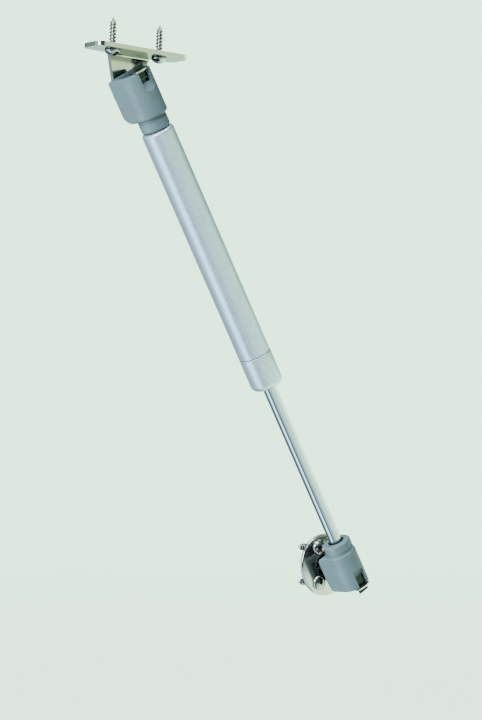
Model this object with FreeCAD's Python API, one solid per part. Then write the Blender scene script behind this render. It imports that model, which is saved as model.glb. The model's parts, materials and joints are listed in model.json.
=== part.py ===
import FreeCAD, Part
import math
import os
from collections import namedtuple

# Gas strut stay for a lift-up flap, drawn open, as fitted to the side of a cabinet.
# Millimetres. The origin is the centre of the cabinet disc's back face, which lies on
# the side panel. +X points away from the panel, +Z is up and -Y is towards the room.
# The strut's own pieces are drawn about a local Z axis that runs from the centre of the
# lower ball to the centre of the upper one, and are then leaned into place.

V = FreeCAD.Vector

# ---------------------------------------------------------------- driving dimensions

# the whole stay
EXTENDED_LENGTH = 245.0      # ball centre to ball centre with the rod right out
STROKE = 80.0                # travel of the rod
LEAN_DEG = 30.0              # lean of the open strut, from upright towards the room
BALL_STANDOFF = 16.0         # panel to the plane of both ball centres
RUNNING_CLEAR = 0.05         # radial clearance of a turning or sliding fit
SEAT_GAP = 0.3               # gap between pieces that turn face to face
CLOSED_GAP = 2.5             # rod still showing when the strut is right in

# ball studs
BALL_DIA = 8.0
BALL_FLAT_DIA = 2.4          # small flat on the ball's nose
NECK_DIA = 4.4
RIVET_DIA = 6.0
RIVET_HEAD_DIA = 8.0
NECK_TAPER = 1.6             # length of the cone from the shoulder down to the neck

# cabinet disc and its stud
DISC_DIA = 29.0
DISC_THICK = 2.6             # at its flat middle
DISC_FLAT_DIA = 9.4
DISC_RIM_THICK = 1.3         # where the dome meets the rounded edge
DISC_DOME_BULGE = 0.24       # rise of the dome's arc above a straight cone
DISC_EDGE_ROUND = 0.9
DISC_SEAT = 1.5              # back face to the flat seat of a screw head
DISC_SEAT_DIA = 7.6
CABINET_SHOULDER_DIA = 8.4
CABINET_SHOULDER_LENGTH = 1.4
CABINET_SCREW_CIRCLE = 19.0
CABINET_SCREW_COUNT = 3
COUNTERSINK_DEPTH = 1.0

# wood screws
SCREW_DIA = 3.5
SCREW_NECK_DIA = 3.7         # plain neck under the head, in the sheet metal's hole
SCREW_HOLE_DIA = 3.8
SCREW_HEAD_DIA = 6.8
SCREW_HEAD_HEIGHT = 2.6
SCREW_HEAD_RIM = 0.7
SCREW_REACH = 13.0           # length of thread behind the sheet metal
SCREW_POINT = 3.0
RECESS_SPAN = 3.6
RECESS_WIDTH = 0.9
RECESS_DEPTH = 1.3

# flap bracket
FLAP_TILT_DEG = 2.3          # front of the flap above level when it is open
PLATE_LENGTH = 50.0
PLATE_WIDTH = 13.5
SHEET = 2.0
PLATE_CORNER = 3.5
FLAP_SCREW_SPACING = 26.0
PLATE_DROP = 16.7            # plate's underside to the ball centre
EAR_FACE_TO_AXIS = 11.2      # ear's inner face to the strut axis
EAR_FRONT = 8.7              # ear's root, ahead of the ball
EAR_BACK = 13.0              # ear's root, behind the ball
EAR_TIP_RADIUS = 4.9
BEND_INSIDE = 0.6
FLAP_SHOULDER_DIA = 8.0
FLAP_SHOULDER_LENGTH = 0.8
FLAP_RIVET_HEIGHT = 1.2

# ball sockets; each is measured from the centre of its ball
ROD_SOCKET_HALF_WIDTH = 7.2
ROD_SOCKET_FLAT = 10.2       # flat side to the strut axis
ROD_SOCKET_OPEN_END = 10.3
ROD_SOCKET_SHOULDER = 8.0
ROD_SOCKET_REACH = 13.4      # to the end of the collar
ROD_SOCKET_SHOULDER_ROUND = 5.0
ROD_SOCKET_HEEL_SETBACK = 1.8    # the flat side leans in by this much at the open end
CYLINDER_SOCKET_HALF_WIDTH = 8.1
CYLINDER_SOCKET_FLAT = 9.7
CYLINDER_SOCKET_OPEN_END = 8.7
CYLINDER_SOCKET_SHOULDER = 12.5
CYLINDER_SOCKET_REACH = 18.7
CYLINDER_SOCKET_SHOULDER_ROUND = 7.0
CYLINDER_SOCKET_HEEL_SETBACK = 0.4
SOCKET_WALL = 2.0
SOCKET_CORNER = 1.5
HEEL_ROUND = 2.5
SHOULDER_EDGE = 1.2
RIM_EDGE = 0.5
COLLAR_DIA = 13.4
COLLAR_ROUND = 1.0
COLLAR_GROOVE_WIDTH = 0.6    # fine groove round the collar, just past the shoulder
COLLAR_GROOVE_DEPTH = 0.25
COLLAR_GROOVE_OFFSET = 0.8
POCKET_FLOOR = 1.2           # clip pocket's floor, past the ball's centre
ENTRY_LIP = 0.15             # radial undercut that the ball snaps past
ENTRY_THROAT = 5.5           # ball centre to the end of the straight throat
ENTRY_MOUTH_DIA = 9.6
ENTRY_BOSS_DIA = 11.2        # low boss round the mouth
ENTRY_BOSS_HEIGHT = 0.8
ENTRY_BOSS_ROUND = 0.4
SLOT_WIDTH = 6.0
SLOT_THROUGH = 5.4           # length of slot that goes right through the wall
SLOT_RUNOUT = 4.0            # length over which its floor then rises to the surface
THREAD_START = 5.5           # ball centre to the bottom of the threaded hole
COUNTERBORE_DIA = 7.8
COUNTERBORE_DEPTH = 3.0

# safety clips
CLIP_SHEET = 0.7
CLIP_HEIGHT = 7.0
CLIP_SIDE_CLEAR = 0.1
CLIP_TONGUE_WIDTH = 5.6
CLIP_LIP_LENGTH = 3.1        # lip past the socket's open end
CLIP_FLANGE_WIDTH = 7.8
CLIP_FLANGE_INNER = 0.6      # flange's reach inwards of the strip
CLIP_FLANGE_PROUD = 0.3      # and outwards of the socket's wall
CLIP_FORK_GAP = 0.4          # fork prong to the stud's neck
CLIP_CROWN_OVERLAP = 0.8

# cylinder
TUBE_DIA = 15.0
TUBE_WALL = 1.0
TUBE_END_ROUND = 1.4
TUBE_LIP = 1.0
TUBE_LIP_HOLE_DIA = 8.8
NECKED_DIA = 13.4
BEAD_DIA = 10.2              # inward bead that stops the gland and the piston
BEAD_LENGTH = 0.8
CAP_DIA = 15.2
CAP_LENGTH = 17.0
CAP_ROUND = 3.2
CAP_END_WALL = 1.2
CAP_ROD_HOLE_DIA = 6.9

# gland, from the rod's end inwards
WIPER_DIA = 9.6
WIPER_LENGTH = 2.0
GUIDE_LENGTH = 6.0
SEAL_LENGTH = 3.5
SEAL_GROOVE_WIDTH = 1.4
SEAL_GROOVE_DEPTH = 1.8
SEAL_WASHER_THICK = 1.0
SEAL_WASHER_CLEAR = 0.3

# rod and piston
ROD_DIA = 6.0
ROD_THREAD_DIA = 5.0
SPIGOT_DIA = 4.0
STOP_WASHER_DIA = 10.8
STOP_WASHER_THICK = 2.0
PISTON_DIA = 12.4
PISTON_LENGTH = 6.0
RING_GROOVE_DIA = 10.4
RING_WIDTH = 2.0
RING_SIDE_CLEAR = 0.1
REAR_WASHER_DIA = 10.0
REAR_WASHER_THICK = 1.0
RIVETED_TIP_DIA = 6.4
RIVETED_TIP_HEIGHT = 1.5

# closed end of the cylinder
PLUG_LENGTH = 7.5
PLUG_STUD_DIA = 6.0
PLUG_STUD_CHAMFER = 0.6
PLUG_SEAL_SECTION = 1.5      # square-cut ring

# ---------------------------------------------------------------- worked-out sizes

BALL_R = BALL_DIA / 2
NECK_R = NECK_DIA / 2
ROD_R = ROD_DIA / 2
TUBE_R = TUBE_DIA / 2
BORE_R = TUBE_R - TUBE_WALL
NECKED_R = NECKED_DIA / 2
GLAND_R = NECKED_R - TUBE_WALL
PLUG_STUD_R = PLUG_STUD_DIA / 2

# fork of a safety clip: half its opening, and how far behind the ball's centre its back is
CLIP_PRONG = NECK_R + CLIP_FORK_GAP
CLIP_BACK = math.sqrt(BALL_R ** 2 - CLIP_PRONG ** 2) + RUNNING_CLEAR + CLIP_SHEET

Socket = namedtuple("Socket", "half_width flat open_end shoulder reach "
                              "shoulder_round heel_setback thread_r")
ROD_SOCKET = Socket(ROD_SOCKET_HALF_WIDTH, ROD_SOCKET_FLAT, ROD_SOCKET_OPEN_END,
                    ROD_SOCKET_SHOULDER, ROD_SOCKET_REACH, ROD_SOCKET_SHOULDER_ROUND,
                    ROD_SOCKET_HEEL_SETBACK, ROD_THREAD_DIA / 2)
CYLINDER_SOCKET = Socket(CYLINDER_SOCKET_HALF_WIDTH, CYLINDER_SOCKET_FLAT,
                         CYLINDER_SOCKET_OPEN_END, CYLINDER_SOCKET_SHOULDER,
                         CYLINDER_SOCKET_REACH, CYLINDER_SOCKET_SHOULDER_ROUND,
                         CYLINDER_SOCKET_HEEL_SETBACK, PLUG_STUD_R + RUNNING_CLEAR)

# stations along the strut axis, from the lower ball's centre
CAP_START = ROD_SOCKET_REACH + STROKE + CLOSED_GAP
SEAM = CAP_START + CAP_LENGTH
TUBE_TOP = EXTENDED_LENGTH - CYLINDER_SOCKET_REACH - SEAT_GAP
WIPER_START = CAP_START + CAP_END_WALL
NECK_START = WIPER_START + WIPER_LENGTH
GUIDE_START = NECK_START + TUBE_LIP
SEAL_START = GUIDE_START + GUIDE_LENGTH
SEAL_WASHER_START = SEAL_START + SEAL_LENGTH
BEAD_START = SEAL_WASHER_START + SEAL_WASHER_THICK
STOP_WASHER_START = BEAD_START + BEAD_LENGTH + SEAT_GAP
PISTON_START = STOP_WASHER_START + STOP_WASHER_THICK
REAR_WASHER_START = PISTON_START + PISTON_LENGTH
TIP_START = REAR_WASHER_START + REAR_WASHER_THICK
PLUG_TOP = TUBE_TOP - TUBE_LIP
PLUG_START = PLUG_TOP - PLUG_LENGTH

# the upper ball's centre, in the stay's own frame
LEAN = math.radians(LEAN_DEG)
UPPER_BALL = V(BALL_STANDOFF, -EXTENDED_LENGTH * math.sin(LEAN), EXTENDED_LENGTH * math.cos(LEAN))

# the flap bracket is drawn level, with the strut axis at x = 0 and its ball at the origin
EAR_INNER = -EAR_FACE_TO_AXIS
EAR_OUTER = EAR_INNER - SHEET
PLATE_START = EAR_OUTER + BEND_INSIDE + SHEET
PLATE_MIDDLE = PLATE_START + PLATE_WIDTH / 2

UP = V(0, 0, 1)
ORIGIN = V(0, 0, 0)


# ---------------------------------------------------------------- small helpers

def revolved(outline):
    """Solid turned about Z. The outline is a closed run of (radius, z) points; a point
    given as (mid, end) is the end of an arc that passes through mid."""
    edges = []
    start = V(outline[0][0], 0, outline[0][1])
    first = start
    for step in outline[1:]:
        if isinstance(step[0], tuple):
            mid = V(step[0][0], 0, step[0][1])
            end = V(step[1][0], 0, step[1][1])
            edges.append(Part.Arc(start, mid, end).toShape())
        else:
            end = V(step[0], 0, step[1])
            edges.append(Part.makeLine(start, end))
        start = end
    edges.append(Part.makeLine(start, first))
    face = Part.Face(Part.Wire(edges))
    return face.revolve(ORIGIN, UP, 360)


def ring(outer_r, inner_r, start, length):
    """Plain washer, bush or tube about Z."""
    return revolved([(inner_r, start), (outer_r, start), (outer_r, start + length),
                     (inner_r, start + length)])


def rod_along(radius, start, length):
    return Part.makeCylinder(radius, length, V(0, 0, start))


def on_circle(radius, angle):
    return (radius * math.cos(angle), radius * math.sin(angle))


def dome_arc(radius, height, base):
    """Shallow dome on the Z axis, as (middle of the arc, top). A negative height makes it
    hang down from z = base."""
    side = math.copysign(1, height)
    sphere_r = (radius ** 2 + height ** 2) / (2 * abs(height))
    half_angle = math.asin(radius / sphere_r) / 2
    centre = base + height - side * sphere_r
    middle = (sphere_r * math.sin(half_angle), centre + side * sphere_r * math.cos(half_angle))
    return middle, (0, base + height)


def edges_at(shape, axis, level, tolerance=1e-4):
    """Edges that lie wholly in the plane where the named coordinate equals level."""
    found = []
    for edge in shape.Edges:
        box = edge.BoundBox
        low = getattr(box, axis + "Min")
        high = getattr(box, axis + "Max")
        if abs(low - level) < tolerance and abs(high - level) < tolerance:
            found.append(edge)
    return found


def lean(shape):
    """Move a piece from the strut's local frame into the stay's frame."""
    placed = shape.copy()
    placed.rotate(ORIGIN, V(1, 0, 0), LEAN_DEG)
    placed.translate(V(BALL_STANDOFF, 0, 0))
    return placed


def at_upper_ball(shape):
    """Turn a piece drawn about a ball to face down the strut from the upper ball."""
    turned = shape.copy()
    turned.rotate(ORIGIN, V(1, 0, 0), 180)
    turned.translate(V(0, 0, EXTENDED_LENGTH))
    return lean(turned)


def at_flap(shape):
    """Move a piece drawn level about the upper ball to the tilt and place of the flap."""
    placed = shape.copy()
    placed.rotate(ORIGIN, V(1, 0, 0), -FLAP_TILT_DEG)
    placed.translate(UPPER_BALL)
    return placed


def d_prism(half_width, flat, corner, start, length):
    """Prism along Z with a D section: round towards +X, flat and square towards -X."""
    near = V(0, -half_width, start)
    far = V(0, half_width, start)
    flank = -flat + corner
    knuckle = corner * math.sqrt(0.5)
    edges = [
        Part.Arc(near, V(half_width, 0, start), far).toShape(),
        Part.makeLine(far, V(flank, half_width, start)),
        Part.Arc(V(flank, half_width, start),
                 V(flank - knuckle, half_width - corner + knuckle, start),
                 V(-flat, half_width - corner, start)).toShape(),
        Part.makeLine(V(-flat, half_width - corner, start), V(-flat, corner - half_width, start)),
        Part.Arc(V(-flat, corner - half_width, start),
                 V(flank - knuckle, corner - half_width - knuckle, start),
                 V(flank, -half_width, start)).toShape(),
        Part.makeLine(V(flank, -half_width, start), near),
    ]
    return Part.Face(Part.Wire(edges)).extrude(V(0, 0, length))


def extruded_xz(edges, half_span):
    """Solid between y = -half_span and +half_span whose outline is drawn in the XZ plane."""
    face = Part.Face(Part.Wire(edges))
    face.translate(V(0, -half_span, 0))
    return face.extrude(V(0, 2 * half_span, 0))


def run_of_lines(points):
    return [Part.makeLine(V(*a), V(*b)) for a, b in zip(points, points[1:])]


# ---------------------------------------------------------------- ball studs

def ball_stud(tail, shoulder_start, shoulder_dia, shoulder_length):
    """Turned stud along +X with its ball at the origin. The tail is the outline of the
    riveted end, from the axis out to the rivet's shank."""
    shoulder_r = shoulder_dia / 2
    shoulder_end = shoulder_start + shoulder_length
    flat_r = BALL_FLAT_DIA / 2
    nose = math.sqrt(BALL_R ** 2 - flat_r ** 2)
    outline = tail + [
        (RIVET_DIA / 2, shoulder_start),
        (shoulder_r, shoulder_start),
        (shoulder_r, shoulder_end),
        (NECK_R, shoulder_end + NECK_TAPER),
        (NECK_R, -math.sqrt(BALL_R ** 2 - NECK_R ** 2)),
        ((BALL_R, 0), (flat_r, nose)),
        (0, nose),
    ]
    stud = revolved(outline)
    stud.rotate(ORIGIN, V(0, 1, 0), 90)
    return stud


def cabinet_ball_stud():
    back = -BALL_STANDOFF
    tail = [(0, back), (RIVET_HEAD_DIA / 2, back), (RIVET_DIA / 2, back + COUNTERSINK_DEPTH)]
    stud = ball_stud(tail, back + DISC_THICK, CABINET_SHOULDER_DIA, CABINET_SHOULDER_LENGTH)
    stud.translate(V(BALL_STANDOFF, 0, 0))
    return stud


def flap_ball_stud():
    head_r = RIVET_HEAD_DIA / 2
    middle, crown = dome_arc(head_r, -FLAP_RIVET_HEIGHT, EAR_OUTER)
    tail = [crown, (middle, (head_r, EAR_OUTER)), (RIVET_DIA / 2, EAR_OUTER)]
    return at_flap(ball_stud(tail, EAR_INNER, FLAP_SHOULDER_DIA, FLAP_SHOULDER_LENGTH))


# ---------------------------------------------------------------- screws

def wood_screw(grip):
    """Pan-head wood screw along Z: the head sits on z = 0, its neck fills a sheet of the
    grip's thickness and the point is downwards."""
    head_r = SCREW_HEAD_DIA / 2
    neck_r = SCREW_NECK_DIA / 2
    shank_r = SCREW_DIA / 2
    tip = -grip - SCREW_REACH
    screw = revolved([
        (0, tip),
        (shank_r, tip + SCREW_POINT),
        (shank_r, -grip),
        (neck_r, -grip),
        (neck_r, 0),
        (head_r, 0),
        (head_r, SCREW_HEAD_RIM),
        dome_arc(head_r, SCREW_HEAD_HEIGHT - SCREW_HEAD_RIM, SCREW_HEAD_RIM),
    ])
    for turn in (0, 90):
        arm = Part.makeBox(RECESS_SPAN, RECESS_WIDTH, SCREW_HEAD_HEIGHT,
                           V(-RECESS_SPAN / 2, -RECESS_WIDTH / 2, SCREW_HEAD_HEIGHT - RECESS_DEPTH))
        arm.rotate(ORIGIN, UP, turn)
        screw = screw.cut(arm)
    return screw


def cabinet_screw_places():
    """(y, z) of each screw: one straight back and the others spaced round the disc."""
    step = 2 * math.pi / CABINET_SCREW_COUNT
    return [on_circle(CABINET_SCREW_CIRCLE / 2, step * i) for i in range(CABINET_SCREW_COUNT)]


def cabinet_screws():
    screws = []
    for y, z in cabinet_screw_places():
        screw = wood_screw(DISC_SEAT)
        screw.rotate(ORIGIN, V(0, 1, 0), 90)
        screw.translate(V(DISC_SEAT, y, z))
        screws.append(screw)
    return Part.makeCompound(screws)


def flap_screw_places():
    """(x, y) of each screw on the level bracket."""
    return [(PLATE_MIDDLE, side * FLAP_SCREW_SPACING / 2) for side in (-1, 1)]


def flap_screws():
    screws = []
    for x, y in flap_screw_places():
        screw = wood_screw(SHEET)
        screw.rotate(ORIGIN, V(1, 0, 0), 180)
        screw.translate(V(x, y, PLATE_DROP))
        screws.append(at_flap(screw))
    return Part.makeCompound(screws)


# ---------------------------------------------------------------- brackets

def cabinet_disc():
    """Pressed disc: a flat middle for the stud, a low dome with a flat seat for each screw
    head, and a rounded edge."""
    rim_r = DISC_DIA / 2
    flat_r = DISC_FLAT_DIA / 2
    dome_r = rim_r - DISC_EDGE_ROUND
    knee = DISC_EDGE_ROUND * math.sqrt(0.5)
    edge_middle = (dome_r + knee, DISC_RIM_THICK - DISC_EDGE_ROUND + knee)
    dome_middle = ((dome_r + flat_r) / 2, (DISC_RIM_THICK + DISC_THICK) / 2 + DISC_DOME_BULGE)
    disc = revolved([
        (0, 0),
        (rim_r, 0),
        (rim_r, DISC_RIM_THICK - DISC_EDGE_ROUND),
        (edge_middle, (dome_r, DISC_RIM_THICK)),
        (dome_middle, (flat_r, DISC_THICK)),
        (0, DISC_THICK),
    ])
    disc.rotate(ORIGIN, V(0, 1, 0), 90)
    along = V(1, 0, 0)
    rivet_hole = Part.makeCylinder(RIVET_DIA / 2, DISC_THICK, ORIGIN, along)
    countersink = Part.makeCone(RIVET_HEAD_DIA / 2, RIVET_DIA / 2, COUNTERSINK_DEPTH,
                                ORIGIN, along)
    cuts = [rivet_hole, countersink]
    for y, z in cabinet_screw_places():
        cuts.append(Part.makeCylinder(SCREW_HOLE_DIA / 2, DISC_THICK, V(0, y, z), along))
        cuts.append(Part.makeCylinder(DISC_SEAT_DIA / 2, DISC_THICK, V(DISC_SEAT, y, z), along))
    return disc.cut(cuts)


def tangent_point(outside_y, outside_z, radius, side):
    """Where the line from (outside_y, outside_z) touches a circle about the origin."""
    distance = math.hypot(outside_y, outside_z)
    angle = math.atan2(outside_z, outside_y) + side * math.acos(radius / distance)
    return on_circle(radius, angle)


def ear():
    """Ear that tapers from its root to a round tip about the ball stud."""
    root = PLATE_DROP - BEND_INSIDE
    front = tangent_point(-EAR_FRONT, root, EAR_TIP_RADIUS, 1)
    back = tangent_point(EAR_BACK, root, EAR_TIP_RADIUS, -1)
    corners = [V(EAR_OUTER, y, z) for y, z in (
        (-EAR_FRONT, root), front, (0, -EAR_TIP_RADIUS), back, (EAR_BACK, root))]
    edges = [
        Part.makeLine(corners[0], corners[1]),
        Part.Arc(corners[1], corners[2], corners[3]).toShape(),
        Part.makeLine(corners[3], corners[4]),
        Part.makeLine(corners[4], corners[0]),
    ]
    return Part.Face(Part.Wire(edges)).extrude(V(SHEET, 0, 0))


def ear_bend():
    """Quarter-round bend that joins the ear to the plate."""
    outside = BEND_INSIDE + SHEET
    width = EAR_FRONT + EAR_BACK
    centre = V(PLATE_START, -EAR_FRONT, PLATE_DROP - BEND_INSIDE)
    bend = Part.makeCylinder(outside, width, centre, V(0, 1, 0))
    bend = bend.cut(Part.makeCylinder(BEND_INSIDE, width, centre, V(0, 1, 0)))
    quarter = Part.makeBox(outside, width, outside, V(EAR_OUTER, -EAR_FRONT, centre.z))
    return bend.common(quarter)


def flap_plate():
    plate = Part.makeBox(PLATE_WIDTH, PLATE_LENGTH, SHEET,
                         V(PLATE_START, -PLATE_LENGTH / 2, PLATE_DROP))
    uprights = [edge for edge in plate.Edges if edge.BoundBox.ZLength > SHEET / 2]
    return plate.makeFillet(PLATE_CORNER, uprights)


def flap_bracket():
    """One pressing: a flat plate under the flap, with an ear bent down from its long edge."""
    bracket = flap_plate().fuse([ear(), ear_bend()]).removeSplitter()
    holes = [Part.makeCylinder(RIVET_DIA / 2, SHEET, V(EAR_OUTER, 0, 0), V(1, 0, 0))]
    for x, y in flap_screw_places():
        holes.append(Part.makeCylinder(SCREW_HOLE_DIA / 2, SHEET, V(x, y, PLATE_DROP)))
    return at_flap(bracket.cut(holes))


# ---------------------------------------------------------------- ball sockets and clips

def pocket_half_width(socket):
    return socket.half_width - SOCKET_WALL


def clip_outside(socket):
    """Outer radius of the clip's strip, which lies just inside the pocket's wall."""
    return pocket_half_width(socket) - CLIP_SIDE_CLEAR


def flat_side_cutter(socket):
    """What is left of the flat side's outline, seen along Y: a large round at the shoulder,
    a flat that leans in towards the open end, and a round at the heel."""
    wall = -socket.flat
    rim = -socket.open_end
    big = socket.shoulder_round
    knuckle = big * (1 - math.sqrt(0.5))
    heel = V(wall + socket.heel_setback, 0, rim)
    lean_in = math.atan2(socket.heel_setback, socket.open_end)
    tangent = HEEL_ROUND / math.tan((math.pi / 2 + lean_in) / 2)
    heel_top = heel + V(-math.sin(lean_in), 0, math.cos(lean_in)) * tangent
    heel_end = heel + V(tangent, 0, 0)
    heel_centre = heel_end + V(0, 0, HEEL_ROUND)
    heel_middle = heel_centre + (heel - heel_centre).normalize() * HEEL_ROUND
    shoulder_end = V(wall + big, 0, socket.shoulder)
    edges = run_of_lines([
        heel_end, V(heel_end.x, 0, rim - 1), V(wall - 1, 0, rim - 1),
        V(wall - 1, 0, socket.shoulder + 1), V(shoulder_end.x, 0, socket.shoulder + 1),
        shoulder_end])
    edges.append(Part.Arc(shoulder_end, V(wall + knuckle, 0, socket.shoulder - knuckle),
                          V(wall, 0, socket.shoulder - big)).toShape())
    edges += run_of_lines([V(wall, 0, socket.shoulder - big), V(wall, 0, 0), heel_top])
    edges.append(Part.Arc(heel_top, heel_middle, heel_end).toShape())
    return extruded_xz(edges, socket.half_width + 1)


def socket_face(socket):
    """Distance from the strut axis to the face of the boss that the stud enters."""
    return socket.flat + ENTRY_BOSS_HEIGHT


def socket_body(socket):
    """Outside of a moulded socket about its ball: a D-shaped body with a low boss round the
    stud's entry, and a round collar."""
    rim = -socket.open_end
    body = d_prism(socket.half_width, socket.flat, SOCKET_CORNER, rim, socket.shoulder - rim)
    body = body.makeFillet(SHOULDER_EDGE, edges_at(body, "Z", socket.shoulder))
    body = body.makeFillet(RIM_EDGE, edges_at(body, "Z", rim))
    body = body.cut(flat_side_cutter(socket))
    boss = Part.makeCylinder(ENTRY_BOSS_DIA / 2, socket_face(socket), ORIGIN, V(-1, 0, 0))
    boss = boss.makeFillet(ENTRY_BOSS_ROUND, edges_at(boss, "X", -socket_face(socket)))
    collar_r = COLLAR_DIA / 2
    collar = rod_along(collar_r, 0, socket.reach)
    collar = collar.makeFillet(COLLAR_ROUND, edges_at(collar, "Z", socket.reach))
    groove = ring(collar_r + 1, collar_r - COLLAR_GROOVE_DEPTH,
                  socket.shoulder + COLLAR_GROOVE_OFFSET, COLLAR_GROOVE_WIDTH)
    return body.fuse([boss, collar.cut(groove)])


def ball_seat(socket):
    """Everything the ball, its stud and its clip need taken out of a socket."""
    cavity = Part.makeSphere(BALL_R + RUNNING_CLEAR)
    pocket = d_prism(pocket_half_width(socket), CLIP_BACK + CLIP_SIDE_CLEAR, CLIP_SHEET,
                     -socket.open_end - 1, socket.open_end + 1 + POCKET_FLOOR)
    throat_r = BALL_R - ENTRY_LIP
    inwards = V(-1, 0, 0)
    throat = Part.makeCylinder(throat_r, ENTRY_THROAT, ORIGIN, inwards)
    mouth = Part.makeCone(throat_r, ENTRY_MOUTH_DIA / 2, socket_face(socket) - ENTRY_THROAT,
                          V(-ENTRY_THROAT, 0, 0), inwards)
    return cavity.fuse([pocket, throat, mouth])


def release_slot(socket):
    """Slot in the socket's back wall for the clip's tongue: right through at the rim, with
    a floor that then rises to the surface."""
    wall_inside = pocket_half_width(socket)
    beyond = socket.half_width + 1
    rim = -socket.open_end
    through = rim + SLOT_THROUGH
    runout = through + SLOT_RUNOUT
    inner = clip_outside(socket) - CLIP_SHEET - CLIP_SIDE_CLEAR
    side = [(inner, rim - 1), (beyond, rim - 1), (beyond, runout), (socket.half_width, runout),
            (wall_inside, through), (inner, through)]
    points = [V(x, -SLOT_WIDTH / 2, z) for x, z in side]
    return Part.Face(Part.makePolygon(points + points[:1])).extrude(V(0, SLOT_WIDTH, 0))


def ball_socket(socket):
    thread = rod_along(socket.thread_r, THREAD_START, socket.reach - THREAD_START)
    counterbore = rod_along(COUNTERBORE_DIA / 2, socket.reach - COUNTERBORE_DEPTH,
                            COUNTERBORE_DEPTH)
    cuts = [ball_seat(socket), release_slot(socket), thread, counterbore]
    return socket_body(socket).cut(cuts)


def rod_socket():
    return lean(ball_socket(ROD_SOCKET))


def cylinder_socket():
    return at_upper_ball(ball_socket(CYLINDER_SOCKET))


def block(x_low, x_high, half_width, z_low, z_high):
    return Part.makeBox(x_high - x_low, 2 * half_width, z_high - z_low,
                        V(x_low, -half_width, z_low))


def safety_clip(socket):
    """Spring-steel clip about its ball: a U of strip round the ball, whose prongs close
    behind it on both sides of the neck, and a tongue down the slot. A curved flange stops
    the tongue on the socket's rim, and its lip is what a screwdriver lifts."""
    outside = clip_outside(socket)
    inside = outside - CLIP_SHEET
    top = POCKET_FLOOR - 2 * CLIP_SIDE_CLEAR
    bottom = top - CLIP_HEIGHT
    rim = -socket.open_end - CLIP_SIDE_CLEAR
    strip = d_prism(outside, CLIP_BACK, CLIP_SHEET, bottom, CLIP_HEIGHT)
    hollow = d_prism(inside, CLIP_BACK - CLIP_SHEET, CLIP_SHEET / 2, bottom, CLIP_HEIGHT)
    throat = block(-CLIP_BACK, 0, CLIP_PRONG, bottom, top)
    tongue = block(inside, outside, CLIP_TONGUE_WIDTH / 2,
                   rim - CLIP_LIP_LENGTH, bottom + CLIP_CROWN_OVERLAP)
    flange_outer = socket.half_width + CLIP_FLANGE_PROUD
    flange = ring(flange_outer, inside - CLIP_FLANGE_INNER, rim - CLIP_SHEET, CLIP_SHEET)
    flange = flange.common(block(0, flange_outer, CLIP_FLANGE_WIDTH / 2, rim - CLIP_SHEET, rim))
    return strip.cut([hollow, throat]).fuse([tongue, flange]).removeSplitter()


def rod_safety_clip():
    return lean(safety_clip(ROD_SOCKET))


def cylinder_safety_clip():
    return at_upper_ball(safety_clip(CYLINDER_SOCKET))


# ---------------------------------------------------------------- cylinder

def cylinder_tube():
    """Drawn tube: rolled in over the plug at the top, necked down inside the end cap."""
    lip_r = TUBE_LIP_HOLE_DIA / 2
    knee = TUBE_END_ROUND * (1 - math.sqrt(0.5))
    neck_inner_end = BEAD_START + BEAD_LENGTH
    outline = [
        (lip_r, NECK_START),
        (NECKED_R, NECK_START),
        (NECKED_R, SEAM),
        (TUBE_R, SEAM),
        (TUBE_R, TUBE_TOP - TUBE_END_ROUND),
        ((TUBE_R - knee, TUBE_TOP - knee), (TUBE_R - TUBE_END_ROUND, TUBE_TOP)),
        (lip_r, TUBE_TOP),
        (lip_r, PLUG_TOP),
        (BORE_R, PLUG_TOP),
        (BORE_R, SEAM + TUBE_WALL / 2),
        (GLAND_R, SEAM - TUBE_WALL / 2),
        (GLAND_R, neck_inner_end),
        (BEAD_DIA / 2, neck_inner_end),
        (BEAD_DIA / 2, BEAD_START),
        (GLAND_R, BEAD_START),
        (GLAND_R, GUIDE_START),
        (lip_r, GUIDE_START),
    ]
    return lean(revolved(outline))


def rod_end_cap():
    """Thimble pressed over the tube's neck, with a well rounded nose round the rod."""
    outer = CAP_DIA / 2
    hole = CAP_ROD_HOLE_DIA / 2
    knee = CAP_ROUND * (1 - math.sqrt(0.5))
    outline = [
        (hole, CAP_START),
        (outer - CAP_ROUND, CAP_START),
        ((outer - knee, CAP_START + knee), (outer, CAP_START + CAP_ROUND)),
        (outer, SEAM),
        (NECKED_R, SEAM),
        (NECKED_R, NECK_START),
        (WIPER_DIA / 2, NECK_START),
        (WIPER_DIA / 2, WIPER_START),
        (hole, WIPER_START),
    ]
    return lean(revolved(outline))


def rod_wiper():
    return lean(ring(WIPER_DIA / 2, ROD_R + RUNNING_CLEAR, WIPER_START, WIPER_LENGTH))


def rod_guide():
    return lean(ring(GLAND_R, ROD_R + RUNNING_CLEAR, GUIDE_START, GUIDE_LENGTH))


def rod_seal():
    """Lip seal: a V groove in its pressure side leaves a lip round the rod and the tube."""
    inner = ROD_R + RUNNING_CLEAR
    top = SEAL_START + SEAL_LENGTH
    groove_middle = (inner + GLAND_R) / 2
    outline = [
        (inner, SEAL_START),
        (GLAND_R, SEAL_START),
        (GLAND_R, top),
        (groove_middle + SEAL_GROOVE_WIDTH / 2, top),
        (groove_middle, top - SEAL_GROOVE_DEPTH),
        (groove_middle - SEAL_GROOVE_WIDTH / 2, top),
        (inner, top),
    ]
    return lean(revolved(outline))


def seal_washer():
    return lean(ring(GLAND_R, ROD_R + SEAL_WASHER_CLEAR, SEAL_WASHER_START, SEAL_WASHER_THICK))


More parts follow.
